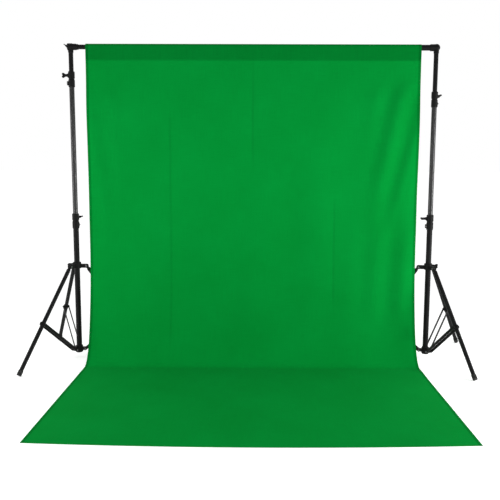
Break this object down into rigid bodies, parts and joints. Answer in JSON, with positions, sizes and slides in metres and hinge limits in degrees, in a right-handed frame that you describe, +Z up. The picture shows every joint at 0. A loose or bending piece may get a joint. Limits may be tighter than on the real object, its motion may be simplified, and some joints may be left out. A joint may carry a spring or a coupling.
{
  "type": "background support system",
  "caption": "Freestanding background support: telescoping light stands with folding tripod legs, a crossbar, and a green cloth backdrop that sweeps onto the floor.",
  "frame": {"origin": "middle of the underside of the whole support, on the floor", "axes": "+X along the crossbar from the left stand to the right stand, +Y away from the side the backdrop faces, +Z up"},
  "size_m": [2.5372, 1.606, 1.761],
  "materials": {
    "black_tube": "satin",
    "clamp_plastic": "satin",
    "knob_plastic": "matte",
    "cast_metal": "satin",
    "black_steel": "satin",
    "bolt_steel": "satin",
    "spigot_steel": "satin",
    "foot_rubber": "matte",
    "green_muslin": "matte"
  },
  "bodies": {
    "root": {"backdrop": "green_muslin", "hub_bolts": "bolt_steel", "lower_clamp_screws": "bolt_steel", "left_lower_tube": "black_tube", "left_base_hub": "clamp_plastic", "left_lower_clamp": "clamp_plastic", "right_lower_tube": "black_tube", "right_base_hub": "clamp_plastic", "right_lower_clamp": "clamp_plastic"},
    "left_middle": {"left_middle_tube": "black_tube", "left_upper_clamp": "clamp_plastic", "left_upper_clamp_screw": "bolt_steel"},
    "left_upper": {"left_upper_tube": "black_tube", "left_spigot": "spigot_steel", "crossbar_left_tube": "black_tube", "crossbar_middle_tube": "black_tube", "crossbar_right_tube": "black_tube", "left_bar_bracket": "cast_metal", "right_bar_bracket": "cast_metal"},
    "left_collar": {"left_leg_collar": "clamp_plastic", "left_leg_pivot_bolts": "bolt_steel"},
    "right_middle": {"right_middle_tube": "black_tube", "right_upper_clamp": "clamp_plastic", "right_upper_clamp_screw": "bolt_steel"},
    "right_upper": {"right_upper_tube": "black_tube", "right_spigot": "spigot_steel"},
    "right_collar": {"right_leg_collar": "clamp_plastic", "right_leg_pivot_bolts": "bolt_steel"},
    "left_leg_1": {"left_leg_1": "black_tube", "left_foot_cap_1": "foot_rubber", "left_leg_clamp_1": "clamp_plastic"},
    "left_brace_1": {"left_brace_1": "black_steel"},
    "left_leg_2": {"left_leg_2": "black_tube", "left_foot_cap_2": "foot_rubber", "left_leg_clamp_2": "clamp_plastic"},
    "left_brace_2": {"left_brace_2": "black_steel"},
    "left_leg_3": {"left_leg_3": "black_tube", "left_foot_cap_3": "foot_rubber", "left_leg_clamp_3": "clamp_plastic"},
    "left_brace_3": {"left_brace_3": "black_steel"},
    "right_leg_1": {"right_leg_1": "black_tube", "right_foot_cap_1": "foot_rubber", "right_leg_clamp_1": "clamp_plastic"},
    "right_brace_1": {"right_brace_1": "black_steel"},
    "right_leg_2": {"right_leg_2": "black_tube", "right_foot_cap_2": "foot_rubber", "right_leg_clamp_2": "clamp_plastic"},
    "right_brace_2": {"right_brace_2": "black_steel"},
    "right_leg_3": {"right_leg_3": "black_tube", "right_foot_cap_3": "foot_rubber", "right_leg_clamp_3": "clamp_plastic"},
    "right_brace_3": {"right_brace_3": "black_steel"},
    "left_lower_clamp_knob": {"left_lower_clamp_knob": "knob_plastic"},
    "left_upper_clamp_knob": {"left_upper_clamp_knob": "knob_plastic"},
    "left_leg_collar_knob": {"left_leg_collar_knob": "knob_plastic"},
    "right_lower_clamp_knob": {"right_lower_clamp_knob": "knob_plastic"},
    "right_upper_clamp_knob": {"right_upper_clamp_knob": "knob_plastic"},
    "right_leg_collar_knob": {"right_leg_collar_knob": "knob_plastic"},
    "left_bar_screw": {"left_bar_screw": "knob_plastic"},
    "right_bar_screw": {"right_bar_screw": "knob_plastic"}
  },
  "joints": [
    {"name": "left_middle_slide", "type": "slide", "parent": "root", "child": "left_middle", "axis": [0, 0, 1], "range_m": [-0.58, 0], "deforming": ["backdrop"]},
    {"name": "right_middle_slide", "type": "slide", "parent": "root", "child": "right_middle", "axis": [0, 0, 1], "range_m": [-0.58, 0]},
    {"name": "left_upper_slide", "type": "slide", "parent": "left_middle", "child": "left_upper", "axis": [0, 0, 1], "range_m": [-0.097, 0.42], "deforming": ["backdrop"]},
    {"name": "right_upper_slide", "type": "slide", "parent": "right_middle", "child": "right_upper", "axis": [0, 0, 1], "range_m": [-0.097, 0.42]},
    {"name": "left_collar_slide", "type": "slide", "parent": "root", "child": "left_collar", "axis": [0, 0, 1], "range_m": [0, 0.17612]},
    {"name": "left_leg_1_fold", "type": "hinge", "parent": "left_collar", "child": "left_leg_1", "pos_m": [-1.0543, 0.3648, 0.53], "axis": [0.8746, -0.4848, 0], "range_deg": [0, 36.71]},
    {"name": "left_brace_1_fold", "type": "hinge", "parent": "root", "child": "left_brace_1", "pos_m": [-1.0463, 0.37923, 0.047], "axis": [-0.8746, 0.4848, 0], "range_deg": [0, 46.32]},
    {"name": "left_leg_2_fold", "type": "hinge", "parent": "left_collar", "child": "left_leg_2", "pos_m": [-1.05593, 0.45832, 0.53], "axis": [-0.8572, -0.515, 0], "range_deg": [0, 36.71]},
    {"name": "left_brace_2_fold", "type": "hinge", "parent": "root", "child": "left_brace_2", "pos_m": [-1.04744, 0.44417, 0.047], "axis": [0.8572, 0.515, 0], "range_deg": [0, 46.32]},
    {"name": "left_leg_3_fold", "type": "hinge", "parent": "left_collar", "child": "left_leg_3", "pos_m": [-0.97413, 0.41297, 0.53], "axis": [-0.0175, 0.9998, 0], "range_deg": [0, 36.71]},
    {"name": "left_brace_3_fold", "type": "hinge", "parent": "root", "child": "left_brace_3", "pos_m": [-0.99063, 0.41269, 0.047], "axis": [0.0175, -0.9998, 0], "range_deg": [0, 46.32]},
    {"name": "right_collar_slide", "type": "slide", "parent": "root", "child": "right_collar", "axis": [0, 0, 1], "range_m": [0, 0.17612]},
    {"name": "right_leg_1_fold", "type": "hinge", "parent": "right_collar", "child": "right_leg_1", "pos_m": [0.99035, 0.36129, 0.53], "axis": [0.9397, 0.342, 0], "range_deg": [0, 36.71]},
    {"name": "right_brace_1_fold", "type": "hinge", "parent": "root", "child": "right_brace_1", "pos_m": [0.9847, 0.37679, 0.047], "axis": [-0.9397, -0.342, 0], "range_deg": [0, 46.32]},
    {"name": "right_leg_2_fold", "type": "hinge", "parent": "right_collar", "child": "right_leg_2", "pos_m": [0.9187, 0.42141, 0.53], "axis": [-0.1736, -0.9848, 0], "range_deg": [0, 36.71]},
    {"name": "right_brace_2_fold", "type": "hinge", "parent": "root", "child": "right_brace_2", "pos_m": [0.93495, 0.41854, 0.047], "axis": [0.1736, 0.9848, 0], "range_deg": [0, 46.32]},
    {"name": "right_leg_3_fold", "type": "hinge", "parent": "right_collar", "child": "right_leg_3", "pos_m": [1.00659, 0.4534, 0.53], "axis": [-0.766, 0.6428, 0], "range_deg": [0, 36.71]},
    {"name": "right_brace_3_fold", "type": "hinge", "parent": "root", "child": "right_brace_3", "pos_m": [0.99598, 0.44076, 0.047], "axis": [0.766, -0.6428, 0], "range_deg": [0, 46.32]},
    {"name": "left_lower_clamp_knob_turn", "type": "hinge", "parent": "root", "child": "left_lower_clamp_knob", "pos_m": [-1.01544, 0.43922, 0.807], "axis": [0.4226, 0.9063, 0], "continuous": true},
    {"name": "left_upper_clamp_knob_turn", "type": "hinge", "parent": "left_middle", "child": "left_upper_clamp_knob", "pos_m": [-1.05812, 0.41203, 1.589], "axis": [-1, 0, 0], "continuous": true},
    {"name": "left_leg_collar_knob_turn", "type": "hinge", "parent": "left_collar", "child": "left_leg_collar_knob", "pos_m": [-1.05812, 0.41151, 0.538], "axis": [-0.9998, -0.0175, 0], "continuous": true},
    {"name": "right_lower_clamp_knob_turn", "type": "hinge", "parent": "root", "child": "right_lower_clamp_knob", "pos_m": [0.94188, 0.41203, 0.807], "axis": [-1, 0, 0], "continuous": true},
    {"name": "right_upper_clamp_knob_turn", "type": "hinge", "parent": "right_middle", "child": "right_upper_clamp_knob", "pos_m": [0.99486, 0.43132, 1.485], "axis": [0.766, 0.6428, 0], "continuous": true},
    {"name": "right_leg_collar_knob_turn", "type": "hinge", "parent": "right_collar", "child": "right_leg_collar_knob", "pos_m": [1.00133, 0.40631, 0.538], "axis": [0.9816, -0.1908, 0], "continuous": true},
    {"name": "left_bar_screw_turn", "type": "hinge", "parent": "left_upper", "child": "left_bar_screw", "pos_m": [-1.0527, 0.41203, 1.74721], "axis": [-0.8192, 0, 0.5736], "continuous": true},
    {"name": "right_bar_screw_turn", "type": "hinge", "parent": "left_upper", "child": "right_bar_screw", "pos_m": [0.97188, 0.44203, 1.73], "axis": [0, 1, 0], "continuous": true}
  ],
  "couplings": [
    {"joint": "right_middle_slide", "follows": "left_middle_slide", "ratio": 1},
    {"joint": "right_upper_slide", "follows": "left_upper_slide", "ratio": 1},
    {"joint": "left_leg_1_fold", "follows": "left_collar_slide", "rad_per_m": 3.6369},
    {"joint": "left_brace_1_fold", "follows": "left_collar_slide", "rad_per_m": 4.5891},
    {"joint": "left_leg_2_fold", "follows": "left_collar_slide", "rad_per_m": 3.6369},
    {"joint": "left_brace_2_fold", "follows": "left_collar_slide", "rad_per_m": 4.5891},
    {"joint": "left_leg_3_fold", "follows": "left_collar_slide", "rad_per_m": 3.6369},
    {"joint": "left_brace_3_fold", "follows": "left_collar_slide", "rad_per_m": 4.5891},
    {"joint": "right_leg_1_fold", "follows": "right_collar_slide", "rad_per_m": 3.6369},
    {"joint": "right_brace_1_fold", "follows": "right_collar_slide", "rad_per_m": 4.5891},
    {"joint": "right_leg_2_fold", "follows": "right_collar_slide", "rad_per_m": 3.6369},
    {"joint": "right_brace_2_fold", "follows": "right_collar_slide", "rad_per_m": 4.5891},
    {"joint": "right_leg_3_fold", "follows": "right_collar_slide", "rad_per_m": 3.6369},
    {"joint": "right_brace_3_fold", "follows": "right_collar_slide", "rad_per_m": 4.5891}
  ]
}
